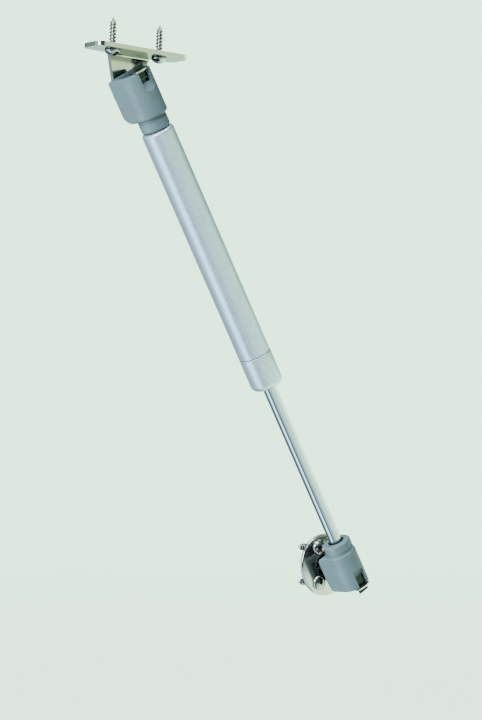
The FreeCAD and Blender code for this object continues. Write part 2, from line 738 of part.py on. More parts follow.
def end_plug():
    """Turned plug with a seal groove and the threaded stud that carries the upper socket."""
    stud_top = EXTENDED_LENGTH - THREAD_START - SEAT_GAP
    groove_low = PLUG_START + (PLUG_LENGTH - PLUG_SEAL_SECTION) / 2
    groove_high = groove_low + PLUG_SEAL_SECTION
    groove_r = BORE_R - PLUG_SEAL_SECTION
    outline = [
        (0, PLUG_START),
        (BORE_R, PLUG_START),
        (BORE_R, groove_low),
        (groove_r, groove_low),
        (groove_r, groove_high),
        (BORE_R, groove_high),
        (BORE_R, PLUG_TOP),
        (PLUG_STUD_R, PLUG_TOP),
        (PLUG_STUD_R, stud_top - PLUG_STUD_CHAMFER),
        (PLUG_STUD_R - PLUG_STUD_CHAMFER, stud_top),
        (0, stud_top),
    ]
    return lean(revolved(outline))


def plug_seal():
    start = PLUG_START + (PLUG_LENGTH - PLUG_SEAL_SECTION) / 2
    return lean(ring(BORE_R, BORE_R - PLUG_SEAL_SECTION, start, PLUG_SEAL_SECTION))


# ---------------------------------------------------------------- rod and piston

def piston_rod():
    """Ground rod: threaded into its socket below, riveted over the piston above."""
    thread_r = ROD_THREAD_DIA / 2
    spigot_r = SPIGOT_DIA / 2
    tip_r = RIVETED_TIP_DIA / 2
    shoulder = ROD_SOCKET_REACH - COUNTERBORE_DEPTH
    outline = [
        (0, THREAD_START),
        (thread_r, THREAD_START),
        (thread_r, shoulder),
        (ROD_R, shoulder),
        (ROD_R, STOP_WASHER_START),
        (spigot_r, STOP_WASHER_START),
        (spigot_r, TIP_START),
        (tip_r, TIP_START),
        dome_arc(tip_r, RIVETED_TIP_HEIGHT, TIP_START),
    ]
    return lean(revolved(outline))


def stop_washer():
    return lean(ring(STOP_WASHER_DIA / 2, SPIGOT_DIA / 2, STOP_WASHER_START, STOP_WASHER_THICK))


def ring_groove():
    """Lower and upper side of the piston's groove."""
    middle = PISTON_START + PISTON_LENGTH / 2
    half = RING_WIDTH / 2 + RING_SIDE_CLEAR
    return middle - half, middle + half


def piston():
    low, high = ring_groove()
    outer = PISTON_DIA / 2
    spigot_r = SPIGOT_DIA / 2
    groove_r = RING_GROOVE_DIA / 2
    top = PISTON_START + PISTON_LENGTH
    outline = [
        (spigot_r, PISTON_START),
        (outer, PISTON_START),
        (outer, low),
        (groove_r, low),
        (groove_r, high),
        (outer, high),
        (outer, top),
        (spigot_r, top),
    ]
    return lean(revolved(outline))


def piston_ring():
    low, _ = ring_groove()
    return lean(ring(BORE_R - RUNNING_CLEAR, RING_GROOVE_DIA / 2, low + RING_SIDE_CLEAR,
                     RING_WIDTH))


def rear_washer():
    return lean(ring(REAR_WASHER_DIA / 2, SPIGOT_DIA / 2, REAR_WASHER_START,
                     REAR_WASHER_THICK))


# ---------------------------------------------------------------- export

PIECES = {
    "cabinet_disc": cabinet_disc,
    "cabinet_ball_stud": cabinet_ball_stud,
    "cabinet_screws": cabinet_screws,
    "rod_socket": rod_socket,
    "rod_safety_clip": rod_safety_clip,
    "piston_rod": piston_rod,
    "stop_washer": stop_washer,
    "piston": piston,
    "piston_ring": piston_ring,
    "rear_washer": rear_washer,
    "cylinder_tube": cylinder_tube,
    "rod_end_cap": rod_end_cap,
    "rod_wiper": rod_wiper,
    "rod_guide": rod_guide,
    "rod_seal": rod_seal,
    "seal_washer": seal_washer,
    "end_plug": end_plug,
    "plug_seal": plug_seal,
    "cylinder_socket": cylinder_socket,
    "cylinder_safety_clip": cylinder_safety_clip,
    "flap_bracket": flap_bracket,
    "flap_ball_stud": flap_ball_stud,
    "flap_screws": flap_screws,
}


def main():
    os.makedirs("parts", exist_ok=True)
    for node, make in PIECES.items():
        shape = make()
        shape.exportStep("parts/" + node + ".step")
        box = shape.BoundBox
        print(f"{node}: {len(shape.Solids)} solid(s), valid {shape.isValid()}, "
              f"{shape.Volume:.1f} mm3, {box.XLength:.1f} x {box.YLength:.1f} x {box.ZLength:.1f}")


main()
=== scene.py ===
import json
import math
import bmesh
import bpy
from mathutils import Matrix, Vector


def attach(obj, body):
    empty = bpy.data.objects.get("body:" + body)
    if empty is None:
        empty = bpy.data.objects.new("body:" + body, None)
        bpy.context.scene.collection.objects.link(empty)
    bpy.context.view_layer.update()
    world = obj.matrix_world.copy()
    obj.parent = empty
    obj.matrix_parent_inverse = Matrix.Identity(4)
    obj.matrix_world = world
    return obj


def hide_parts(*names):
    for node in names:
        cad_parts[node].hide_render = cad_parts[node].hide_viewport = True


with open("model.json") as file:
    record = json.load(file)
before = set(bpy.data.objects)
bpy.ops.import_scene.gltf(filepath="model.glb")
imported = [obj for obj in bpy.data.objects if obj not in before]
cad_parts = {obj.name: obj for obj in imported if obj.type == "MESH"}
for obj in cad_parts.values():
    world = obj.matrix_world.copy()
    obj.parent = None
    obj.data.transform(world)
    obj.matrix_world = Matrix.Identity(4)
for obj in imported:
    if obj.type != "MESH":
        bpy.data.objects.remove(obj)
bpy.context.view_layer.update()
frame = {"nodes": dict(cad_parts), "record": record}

# Gas strut stay for a lift-up flap. Everything is in metres in the part's own frame: the
# origin is the middle of the cabinet disc's back face, +X points away from the side panel
# and +Z is up. The strut leans towards -Y.

MM = 0.001
LEAN = math.radians(30)                  # the strut, from upright
STANDOFF = 16 * MM                       # side panel to the plane of both balls
BALLS_APART = 245 * MM
STRUT_AXIS = Vector((0, -math.sin(LEAN), math.cos(LEAN)))
LOWER_BALL = Vector((STANDOFF, 0, 0))
UPPER_BALL = LOWER_BALL + BALLS_APART * STRUT_AXIS


# ---------------------------------------------------------------- sizes of the finer pieces

# Wood screws. Z runs from the seat under the head, on z = 0, out through the head.
SCREW_R = 1.75 * MM
SCREW_NECK_R = 1.85 * MM
SCREW_HEAD_R = 3.4 * MM
SCREW_HEAD_RIM = 0.7 * MM
SCREW_HEAD_EDGE = 0.15 * MM
SCREW_HEAD_HEIGHT = 2.6 * MM
SCREW_REACH = 13 * MM                    # beyond the plate or disc that it holds
SCREW_POINT = 3 * MM
THREAD_PITCH = 1.5 * MM
THREAD_CORE_R = 1.15 * MM
THREAD_RIDGE = 0.55                      # how much of the pitch the ridge covers
RECESS_TIP_R = 0.55 * MM
RECESS_MOUTH_R = 1.85 * MM
RECESS_LENGTH = 2.2 * MM
RECESS_SINK = 0.55 * MM                  # middle of the cutter, below the top of the head
RECESS_SQUASH = (1.35, 0.36, 1, 1)

DISC_SEAT = 1.5 * MM                     # disc's back face to the seat of a screw head
DISC_SCREW_CIRCLE_R = 9.5 * MM
DISC_SCREW_TURNS = (25, 65, 105)         # degrees that each recess is turned
PLATE_LEAN = math.radians(-2.3)
PLATE_THICKNESS = 2 * MM
PLATE_SEAT = 16.7 * MM                   # upper ball to the seat of a screw head, upwards
PLATE_MIDDLE = -3.85 * MM                # plane of the balls to the plate's middle line
PLATE_SCREWS_APART = 26 * MM
PLATE_SCREW_TURNS = (15, 65)

# End cap: radii, and stations along the strut from the lower ball.
CAP_R = 7.6 * MM
CAP_HOLE_R = 3.45 * MM
CAP_ROUND = 3.2 * MM
NECK_R = 6.7 * MM
WIPER_R = 4.8 * MM
CAP_START = 95.9 * MM
WIPER_START = 97.1 * MM
NECK_START = 99.1 * MM
SEAM = 112.9 * MM
SEAM_GAP = 0.4 * MM                      # dark line between the cap's rim and the tube
SEAM_ROUND = 0.45 * MM

# Safety clips: stations along the strut of the flange that lies on the socket's rim, where the
# clip steel is painted bright as a highlight.
ROD_CLIP_FLANGE = -10.75 * MM
CYLINDER_CLIP_FLANGE = 254.15 * MM
FLANGE_HIGHLIGHT_REACH = 0.38 * MM                 # to each side of the middle of the strip: the painted highlight band on the flange
# Width of the edges painted with the bare colour, partly edge wear and partly a painted
# highlight.
WEAR_AND_HIGHLIGHT_EDGE = 0.15 * MM


# ---------------------------------------------------------------- node trees

def scaled(colour, factor):
    return tuple(channel * factor for channel in colour)


class Nodes:
    """A node tree, with short calls for the nodes that are used here."""

    def __init__(self, tree):
        self.tree = tree

    def node(self, kind, settings=None, **inputs):
        made = self.tree.nodes.new(kind)
        for key, value in (settings or {}).items():
            setattr(made, key, value)
        for key, value in inputs.items():
            self.feed(made.inputs[key.replace("_", " ")], value)
        return made

    def feed(self, socket, value):
        """Link the value if it is a socket, and otherwise set it."""
        if isinstance(value, bpy.types.NodeSocket):
            self.tree.links.new(value, socket)
        else:
            socket.default_value = value

    def maths(self, operation, *values):
        made = self.node("ShaderNodeMath", {"operation": operation})
        for socket, value in zip(made.inputs, values):
            self.feed(socket, value)
        return made.outputs[0]

    def add(self, first, second):
        return self.maths("ADD", first, second)

    def vector_maths(self, operation, *values):
        made = self.node("ShaderNodeVectorMath", {"operation": operation})
        for socket, value in zip(made.inputs, values):
            self.feed(socket, value)
        return made

    def dot(self, first, second):
        return self.vector_maths("DOT_PRODUCT", first, second).outputs["Value"]

    def length(self, vector):
        return self.vector_maths("LENGTH", vector).outputs["Value"]

    def ramp(self, value, low, high, start=0.0, end=1.0):
        """Number that goes from low to high as the value goes from start to end."""
        return self.node("ShaderNodeMapRange", Value=value, From_Min=start, From_Max=end,
                         To_Min=low, To_Max=high).outputs[0]

    def mix(self, share, first, second):
        """Colour from first to second by the share; each is a colour or a socket."""
        mixed = self.node("ShaderNodeMix", {"data_type": "RGBA"}, Factor=share)
        for socket, value in ((mixed.inputs[6], first), (mixed.inputs[7], second)):
            self.feed(socket, value if isinstance(value, bpy.types.NodeSocket) else (*value, 1))
        return mixed.outputs[2]


# ---------------------------------------------------------------- camera, floor and light

VIEW_AZIMUTH = math.radians(49.9)
VIEW_ELEVATION = math.radians(1.95)
CAMERA_BACK = 1.273                      # the camera's place from the origin, in its own view
CAMERA_RIGHT = -0.0389
CAMERA_UP = 0.0965
CAMERA_LENS = 135                        # in millimetres, like the sensor
CAMERA_SENSOR = 36
CAMERA_NEAR = 0.05

FLOOR_LEVEL = -0.22
FLOOR_R = 6
FLOOR_FADE = (1.5, 5.5)                  # distances between which the floor fades out

# A flag is a bright or dark panel for the metal to mirror. Its place is its bearing round the
# part, from 0 behind it, through 0.5 on the camera's side, back to 1; then come its brightness
# and its tint.
COOL = (0.66, 0.88, 1.0)
BLUISH = (0.50, 0.80, 1.0)
GREENISH = (0.64, 1.0, 0.76)
AQUA = (0.66, 0.96, 0.90)
PALE = (0.74, 1.0, 0.70)
SKY = (0.90, 0.97, 1.0)
LEAFY = (0.86, 1.0, 0.92)
LOW_FLAGS = [
    (0.00, 1.4, GREENISH),
    (0.05, 0.45, COOL),
    (0.14, 0.25, COOL),
    (0.225, 0.25, COOL),
    (0.265, 1.6, BLUISH),
    (0.32, 4.3, BLUISH),
    (0.38, 4.3, BLUISH),
    (0.405, 0.15, COOL),
    (0.45, 0.25, COOL),
    (0.54, 1.0, AQUA),
    (0.62, 1.7, AQUA),
    (0.69, 2.6, PALE),
    (0.90, 3.3, GREENISH),
    (1.00, 1.4, GREENISH),
]
HIGH_FLAGS = [
    (0.00, 1.4, GREENISH),
    (0.05, 0.45, COOL),
    (0.19, 0.2, COOL),
    (0.26, 1.8, COOL),
    (0.34, 1.8, COOL),
    (0.40, 0.12, COOL),
    (0.60, 0.08, GREENISH),
    (0.655, 1.0, AQUA),
    (0.70, 1.6, PALE),
    (0.745, 2.2, PALE),
    (0.80, 3.6, GREENISH),
    (0.86, 2.6, GREENISH),
    (1.00, 1.4, GREENISH),
]
# These are placed by height instead: 0 is straight down, 0.5 the horizon and 1 straight up.
OVERHEAD_FLAGS = [
    (0.60, 0.12, GREENISH),
    (0.80, 0.20, COOL),
    (0.93, 0.50, COOL),
    (1.00, 2.60, COOL),
]
# What lights the moulded pieces, placed by bearing.
SOFT_LIGHT = [
    (0.00, 1.3, LEAFY),
    (0.10, 1.1, SKY),
    (0.20, 1.1, SKY),
    (0.26, 1.9, SKY),
    (0.30, 4.5, SKY),
    (0.35, 6.0, SKY),
    (0.41, 5.4, SKY),
    (0.47, 2.0, SKY),
    (0.54, 0.60, SKY),
    (0.65, 0.12, LEAFY),
    (0.84, 0.10, LEAFY),
    (0.92, 0.9, LEAFY),
    (1.00, 1.3, LEAFY),
]
LOW_TO_HIGH = (-0.22, -0.09)             # upward shares of a direction where one row of flags
HIGH_TO_OVERHEAD = (0.19, 0.24)          # gives way to the next
BACKDROP = (2.2, 3.5, 2.55)
PEAK = 6.0                               # brightness at the top of the world's ramps
CORNER_LIGHT = 0.1                       # what metal throws on into the corners beside it
MIRRORED_SHARE = 0.05                    # of the soft light, on plastic seen as a reflection
FIRST_BOUNCE = 2                         # Ray Depth of what metal mirrors straight
LAST_BOUNCE = 3.4                        # Ray Depth by which only the corner light is left

SOFTBOX_TARGET = Vector((0, -0.06, 0.1))
SOFTBOX_COLOUR = (0.92, 0.98, 1.0)
SOFTBOXES = [                            # name, place, width, height and power
    ("key", (0.48, -1.35, 0.70), 0.8, 0.9, 20),
    ("top", (0.5, -0.3, 1.4), 0.9, 0.9, 14),
]


def look_rotation(forward, up):
    """Rotation of a camera or area light that looks along forward."""
    side = forward.cross(up).normalized()
    return Matrix((side, side.cross(forward), -forward)).transposed().to_euler()


def view_axes(azimuth, elevation):
    """Forward, right and up of a view; azimuth 0 looks along +Y and 90 along -X."""
    forward = Vector((-math.sin(azimuth) * math.cos(elevation),
                      math.cos(azimuth) * math.cos(elevation), math.sin(elevation)))
    right = Vector((math.cos(azimuth), math.sin(azimuth), 0))
    return forward, right, right.cross(forward)


def make_camera():
    forward, right, up = view_axes(VIEW_AZIMUTH, VIEW_ELEVATION)
    data = bpy.data.cameras.new("camera")
    data.sensor_fit = "VERTICAL"
    data.sensor_height = CAMERA_SENSOR
    data.lens = CAMERA_LENS
    data.clip_start = CAMERA_NEAR
    camera = bpy.data.objects.new("camera", data)
    camera.location = -CAMERA_BACK * forward + CAMERA_RIGHT * right + CAMERA_UP * up
    camera.rotation_euler = look_rotation(forward, up)
    bpy.context.scene.collection.objects.link(camera)
    bpy.context.scene.camera = camera


def make_softboxes():
    for name, place, width, height, power in SOFTBOXES:
        data = bpy.data.lights.new(name, "AREA")
        data.shape = "RECTANGLE"
        data.size = width
        data.size_y = height
        data.energy = power
        data.color = SOFTBOX_COLOUR
        light = bpy.data.objects.new(name, data)
        light.location = place
        light.rotation_euler = look_rotation((SOFTBOX_TARGET - Vector(place)).normalized(),
                                             Vector((0, 0, 1)))
        bpy.context.scene.collection.objects.link(light)


def band_ramp(nodes, value, stops):
    """Colour ramp through (position, brightness, tint) stops, as shares of PEAK."""
    ramp = nodes.node("ShaderNodeValToRGB", Fac=value)
    ramp.color_ramp.interpolation = "EASE"
    elements = ramp.color_ramp.elements
    while len(elements) < len(stops):
        elements.new(0.5)
    for element, (position, brightness, tint) in zip(elements, stops, strict=True):
        element.position = position
        element.color = (*scaled(tint, brightness / PEAK), 1)
    return ramp.outputs["Color"]


def compass(nodes, direction):
    """A direction's bearing round the part, from 0 to 1 with 0.5 towards the camera."""
    forward, right, _ = view_axes(VIEW_AZIMUTH, 0)
    turn = nodes.maths("ARCTAN2", nodes.dot(direction, right), nodes.dot(direction, -forward))
    return nodes.ramp(turn, 0, 1, -math.pi, math.pi)


def make_world():
    """Plain pale backdrop. Soft light from the front left falls on the moulded pieces, and
    metal mirrors two rows of flags, one below the horizon and one above it, and those
    overhead."""
    world = bpy.data.worlds.new("studio")
    world.use_nodes = True
    nodes = Nodes(world.node_tree)
    direction = nodes.node("ShaderNodeTexCoord").outputs["Generated"]
    bearing = compass(nodes, direction)
    height = nodes.dot(direction, (0, 0, 1))
    flags = nodes.mix(nodes.ramp(height, 0, 1, *LOW_TO_HIGH),
                      band_ramp(nodes, bearing, LOW_FLAGS),
                      band_ramp(nodes, bearing, HIGH_FLAGS))
    flags = nodes.mix(nodes.ramp(height, 0, 1, *HIGH_TO_OVERHEAD), flags,
                      band_ramp(nodes, nodes.ramp(height, 0, 1, -1, 1), OVERHEAD_FLAGS))
    path = nodes.node("ShaderNodeLightPath").outputs
    straight = nodes.maths("MINIMUM", nodes.ramp(path["Diffuse Depth"], 1, 0),
                           nodes.ramp(path["Ray Depth"], 1, 0, FIRST_BOUNCE, LAST_BOUNCE))
    mirrored = nodes.mix(straight, scaled(COOL, CORNER_LIGHT / PEAK), flags)
    dimmed = [(place, brightness * MIRRORED_SHARE, tint)
              for place, brightness, tint in SOFT_LIGHT]
    lit = nodes.mix(nodes.ramp(path["Glossy Depth"], 0, 1), band_ramp(nodes, bearing, SOFT_LIGHT),
                    band_ramp(nodes, bearing, dimmed))
    seen = nodes.mix(path["Is Glossy Ray"], lit, mirrored)
    colour = nodes.mix(path["Is Camera Ray"], seen, scaled(BACKDROP, 1 / PEAK))
    background = nodes.tree.nodes["Background"]
    nodes.feed(background.inputs["Color"], colour)
    nodes.feed(background.inputs["Strength"], PEAK)
    bpy.context.scene.world = world


def make_floor():
    mesh = bpy.data.meshes.new("floor")
    shape = bmesh.new()
    bmesh.ops.create_circle(shape, cap_ends=True, radius=FLOOR_R, segments=96)
    shape.to_mesh(mesh)
    shape.free()
    mesh.materials.append(floor_finish())
    floor = bpy.data.objects.new("floor", mesh)
    floor.location = (0, 0, FLOOR_LEVEL)
    bpy.context.scene.collection.objects.link(floor)
    floor.visible_glossy = False
    floor.visible_diffuse = False


# ---------------------------------------------------------------- finishes

class Surface(Nodes):
    """A material being built: its Principled shader and the nodes behind it."""

    def __init__(self, name, **sockets):
        self.material = bpy.data.materials.new(name)
        self.material.use_nodes = True
        super().__init__(self.material.node_tree)
        self.shader = self.tree.nodes["Principled BSDF"]
        for socket, value in sockets.items():
            self.drive(socket.replace("_", " "), value)

    def drive(self, socket, value):
        self.feed(self.shader.inputs[socket], value)

    def place(self, leaned=False, scale=(1, 1, 1)):
        """Object coordinates. When leaned, they start from the lower ball and Z runs along
        the strut."""
        coords = self.node("ShaderNodeTexCoord").outputs["Object"]
        if leaned:
            coords = self.vector_maths("SUBTRACT", coords, LOWER_BALL).outputs["Vector"]
            coords = self.node("ShaderNodeMapping", Vector=coords,
                               Rotation=(-LEAN, 0, 0)).outputs[0]
        return self.node("ShaderNodeMapping", Vector=coords, Scale=scale).outputs[0]

    def noise(self, vector, size, detail=3, roughness=0.5):
        """Noise from 0 to 1 whose features measure about size metres."""
        return self.node("ShaderNodeTexNoise", Vector=vector, Scale=1 / size, Detail=detail,
                         Roughness=roughness).outputs["Fac"]

    def tint(self, value, dark, light, start=0.3, end=0.7):
        """Colour that goes from dark to light as the value goes from start to end."""
        ramp = self.node("ShaderNodeValToRGB", Fac=value)
        ramp.color_ramp.elements[0].position = start
        ramp.color_ramp.elements[0].color = (*dark, 1)
        ramp.color_ramp.elements[1].position = end
        ramp.color_ramp.elements[1].color = (*light, 1)
        return ramp.outputs["Color"]

    def bump(self, height, depth):
        bump = self.node("ShaderNodeBump", Height=height, Distance=depth)
        self.drive("Normal", bump.outputs[0])

    def edges(self, width):
        """1 on outside and inside edges and 0 on flat ground, from a rounded normal."""
        rounded = self.node("ShaderNodeBevel", {"samples": 6}, Radius=width).outputs[0]
        plain = self.node("ShaderNodeNewGeometry").outputs["Normal"]
        return self.ramp(self.dot(rounded, plain), 1.0, 0.0, 0.80, 0.97)

    def radius_about_x(self):
        """Distance from the X axis, which runs through the middle of the cabinet disc."""
        parts = self.node("ShaderNodeSeparateXYZ", Vector=self.place()).outputs
        flat = self.node("ShaderNodeCombineXYZ", Y=parts["Y"], Z=parts["Z"]).outputs[0]
        return self.length(flat)


def floor_finish():
    """Pale floor that melts into the backdrop a few metres out."""
    surface = Surface("pale floor", Roughness=0.6, Emission_Color=(0.62, 1.0, 0.73, 1),
                      Emission_Strength=1.9)
    place = surface.place()
    cloud = surface.noise(place, 0.6)
    surface.drive("Base Color", surface.tint(cloud, (0.72, 0.84, 0.76), (0.75, 0.87, 0.79)))
    surface.drive("Alpha", surface.ramp(surface.length(place), 1.0, 0.0, *FLOOR_FADE))
    return surface.material


def nickel(name, colour, turned=False):
    """Bright nickel plate: faint clouding, hairline scratches and a trace of orange peel, and
    the rings of a lathe tool where it is turned."""
    surface = Surface(name, Metallic=1.0)
    place = surface.place()
    cloud = surface.noise(place, 5 * MM)
    hairs = surface.noise(surface.place(scale=(1, 0.06, 1)), 0.25 * MM, detail=4)
    peel = surface.noise(place, 1.2 * MM, detail=2)
    surface.drive("Base Color", surface.tint(cloud, scaled(colour, 0.93), scaled(colour, 1.04)))
    surface.drive("Roughness", surface.add(surface.ramp(cloud, 0.07, 0.15),
                                           surface.ramp(hairs, 0.0, 0.06)))
    height = surface.add(peel, surface.ramp(hairs, 0.0, 0.25))
    if turned:
        rings = surface.node("ShaderNodeCombineXYZ", X=surface.radius_about_x()).outputs[0]
        lines = surface.noise(rings, 0.12 * MM, detail=3)
        height = surface.add(height, surface.ramp(lines, 0.0, 0.5))
    surface.bump(height, 0.004 * MM)
    return surface.material


def moulded_plastic(name, colour):
    """Glass-filled nylon from a spark-eroded mould: satin, finely grained and lightly scuffed."""
    surface = Surface(name, Metallic=0.0)
    place = surface.place()
    cloud = surface.noise(place, 4 * MM)
    grain = surface.noise(place, 0.16 * MM, detail=5, roughness=0.65)
    scuff = surface.noise(surface.place(leaned=True, scale=(1, 1, 0.15)), 0.5 * MM, detail=6)
    worn = surface.ramp(scuff, 0.0, 1.0, start=0.64, end=0.74)
    body = surface.tint(cloud, scaled(colour, 0.92), scaled(colour, 1.06))
    surface.drive("Base Color", surface.mix(surface.ramp(worn, 0.0, 0.16), body,
                                            scaled(colour, 1.5)))
    surface.drive("Roughness", surface.add(surface.ramp(grain, 0.33, 0.47),
                                           surface.ramp(worn, 0.0, 0.08)))
    surface.bump(grain, 0.012 * MM)
    return surface.material


def metallic_lacquer(name, colour):
    """Silver stove lacquer: fine metal flake, a slight mottle and some orange peel, under a
    thin clear coat."""
    surface = Surface(name, Metallic=0.75, Coat_Weight=0.3, Coat_Roughness=0.22)
    place = surface.place(leaned=True)
    flake = surface.node("ShaderNodeTexVoronoi", Vector=place, Scale=1 / (0.16 * MM))
    sparkle = surface.node("ShaderNodeSeparateColor", Color=flake.outputs["Color"]).outputs[0]
    drawn = surface.noise(surface.place(leaned=True, scale=(1, 1, 0.03)), 0.35 * MM, detail=3)
    peel = surface.noise(place, 1.1 * MM, detail=2)
    mottle = surface.noise(place, 0.9 * MM, detail=2)
    tone = surface.add(surface.ramp(sparkle, 0.0, 0.4), surface.ramp(drawn, 0.0, 0.15))
    tone = surface.add(tone, surface.ramp(mottle, 0.0, 0.45, start=0.35, end=0.65))
    surface.drive("Base Color", surface.tint(tone, scaled(colour, 0.74), scaled(colour, 1.14),
                                             0.0, 1.0))
    surface.drive("Roughness", surface.add(surface.ramp(sparkle, 0.0, 0.10),
                                           surface.ramp(peel, 0.24, 0.32)))
    surface.bump(surface.add(peel, surface.ramp(sparkle, 0.0, 0.3)), 0.03 * MM)
    return surface.material


def ground_chrome(name, colour):
    """Hard chrome, ground and polished: very fine rings round the rod."""
    surface = Surface(name, Metallic=1.0)
    rings = surface.noise(surface.place(leaned=True, scale=(0.02, 0.02, 1)), 0.06 * MM, detail=4)
    cloud = surface.noise(surface.place(leaned=True), 6 * MM)
    surface.drive("Base Color", surface.tint(cloud, scaled(colour, 0.95), scaled(colour, 1.03)))
    surface.drive("Roughness", surface.add(surface.ramp(rings, 0.03, 0.10),
                                           surface.ramp(cloud, 0.0, 0.03)))
    surface.bump(rings, 0.0015 * MM)
    return surface.material


def rolled_strip(name, flange):
    """Oil-blacked spring strip: rolling streaks and an uneven oxide. The sheared edges get a
    bare-metal colour, partly edge wear and partly a painted highlight, and the flange, which lies
    at that station along the strut, is painted bright as a highlight."""
    surface = Surface(name, Metallic=1.0)
    streaks = surface.noise(surface.place(leaned=True, scale=(1, 0.08, 1)), 0.2 * MM, detail=4)
    cloud = surface.noise(surface.place(), 2 * MM)
    tone = surface.add(surface.ramp(streaks, 0.0, 0.5), surface.ramp(cloud, 0.0, 0.5))
    oxide = surface.tint(tone, scaled(CLIP_OXIDE, 0.75), scaled(CLIP_OXIDE, 1.25))
    station = surface.node("ShaderNodeSeparateXYZ", Vector=surface.place(leaned=True)).outputs[2]
    # Painted highlight: the flange band gets the bare colour, and so do the sheared edges, where
    # it is partly wear.
    wear_and_highlight = surface.maths("MAXIMUM", surface.maths("COMPARE", station, flange, FLANGE_HIGHLIGHT_REACH),
                           surface.edges(WEAR_AND_HIGHLIGHT_EDGE))
    surface.drive("Base Color", surface.mix(wear_and_highlight, oxide, CLIP_BARE_AND_HIGHLIGHT))
    surface.drive("Roughness", surface.ramp(streaks, 0.14, 0.30))
    surface.bump(streaks, 0.004 * MM)
    return surface.material


def turned_metal(name, colour, rough):
    """Machined about the strut's axis: feed lines round it and a little clouding."""
    surface = Surface(name, Metallic=1.0)
    lines = surface.noise(surface.place(leaned=True, scale=(0.03, 0.03, 1)), 0.09 * MM, detail=3)
    cloud = surface.noise(surface.place(), 3 * MM)
    surface.drive("Base Color", surface.tint(cloud, scaled(colour, 0.90), scaled(colour, 1.06)))
    surface.drive("Roughness", surface.ramp(lines, rough - 0.06, rough + 0.08))
    surface.bump(lines, 0.005 * MM)
    return surface.material


def plain_moulding(name, colour, rough, grain_size):
    """Rubber or PTFE: soft mottling and a fine grain."""
    surface = Surface(name, Metallic=0.0)
    cloud = surface.noise(surface.place(), 1.5 * MM)
    grain = surface.noise(surface.place(), grain_size, detail=5)
    surface.drive("Base Color", surface.tint(cloud, scaled(colour, 0.85), scaled(colour, 1.12)))
    surface.drive("Roughness", surface.ramp(grain, rough - 0.08, rough + 0.08))
    surface.bump(grain, 0.01 * MM)
    return surface.material


CLIP_OXIDE = (0.024, 0.036, 0.032)
# Bare steel colour, used for edge wear and for the painted highlight on the flange.
CLIP_BARE_AND_HIGHLIGHT = (0.70, 0.71, 0.66)
FINISHES = {
    "nickel_disc": nickel("disc nickel", (0.66, 0.64, 0.58), turned=True),
    "nickel_bracket": nickel("bracket nickel", (0.58, 0.59, 0.51)),
    "nickel_stud": nickel("stud nickel", (0.66, 0.65, 0.60)),
    # Painted shade: the screws' nickel is a darker copy of the disc's, standing in for the dark
    # reflections on their heads.
    "screw_nickel": nickel("screw nickel painted darker", (0.46, 0.46, 0.42)),
    "grey_plastic": moulded_plastic("grey nylon", (0.095, 0.158, 0.178)),
    "spring_steel": rolled_strip("rod clip steel", ROD_CLIP_FLANGE),
    "hard_chrome": ground_chrome("rod chrome", (0.66, 0.74, 0.76)),
    "washer_steel": turned_metal("washer steel", (0.55, 0.55, 0.55), 0.32),
    "piston_alloy": turned_metal("piston alloy", (0.70, 0.71, 0.72), 0.26),
    "white_plastic": plain_moulding("ring PTFE", (0.85, 0.85, 0.82), 0.5, 0.3 * MM),
    "silver_tube": metallic_lacquer("tube lacquer", (0.69, 0.85, 0.98)),
    "silver_cap": metallic_lacquer("cap lacquer", (0.71, 0.86, 0.95)),
    "black_rubber": plain_moulding("seal rubber", (0.03, 0.03, 0.03), 0.6, 0.2 * MM),
    "guide_brass": turned_metal("guide brass", (0.71, 0.55, 0.26), 0.28),
    "turned_steel": turned_metal("plug steel", (0.58, 0.58, 0.58), 0.3),
}


def dress_cad():
    """Give each CAD node the finish of its slot, and the upper clip its own station for the
    painted flange highlight.
    """
    slots = {part["node"]: part["material_slot"] for part in frame["record"]["subparts"]}
    for node, thing in frame["nodes"].items():
        for slot in thing.material_slots:
            slot.material = FINISHES[slots[node]]
    for slot in frame["nodes"]["cylinder_safety_clip"].material_slots:
        slot.material = rolled_strip("cylinder clip steel", CYLINDER_CLIP_FLANGE)


# ---------------------------------------------------------------- finer pieces

def new_object(name, shape, smooth_below=35):
    """Object with the shape, which is freed; edges sharper than that many degrees stay sharp."""
    mesh = bpy.data.meshes.new(name)
    bmesh.ops.recalc_face_normals(shape, faces=shape.faces)
    shape.to_mesh(mesh)
    shape.free()
    mesh.polygons.foreach_set("use_smooth", [True] * len(mesh.polygons))
    mesh.set_sharp_from_angle(angle=math.radians(smooth_below))
    made = bpy.data.objects.new(name, mesh)
    bpy.context.scene.collection.objects.link(made)
    return made


def angles_round(segments):
    return [2 * math.pi * i / segments for i in range(segments)]


def turned_shell(shape, outline, segments=48):
    """Rings of vertices about Z through the outline's (radius, z) points, joined by faces; a
    radius of 0 gives a single point."""
    rings = []
    for radius, z in outline:
        if radius < 1e-7:
            rings.append([shape.verts.new((0, 0, z))])
        else:
            rings.append([shape.verts.new((radius * math.cos(a), radius * math.sin(a), z))
                          for a in angles_round(segments)])
    for low, high in zip(rings, rings[1:]):
        for i in range(segments):
            j = (i + 1) % segments
            corners = (low[i % len(low)], low[j % len(low)],
                       high[j % len(high)], high[i % len(high)])
            shape.faces.new(dict.fromkeys(corners))


def thread_radius(z, angle, start, tip):
    """Radius of the wood screw's sharp, widely spaced thread at a height and angle."""
    phase = (z / THREAD_PITCH - angle / (2 * math.pi)) % 1
    crest = max(0.0, 1 - abs(2 * phase - 1) / THREAD_RIDGE)
    fade = min(1.0, (start - z) / THREAD_PITCH)
    radius = THREAD_CORE_R + (SCREW_R - THREAD_CORE_R) * crest * fade
    return radius * min(1.0, (z - tip) / SCREW_POINT)


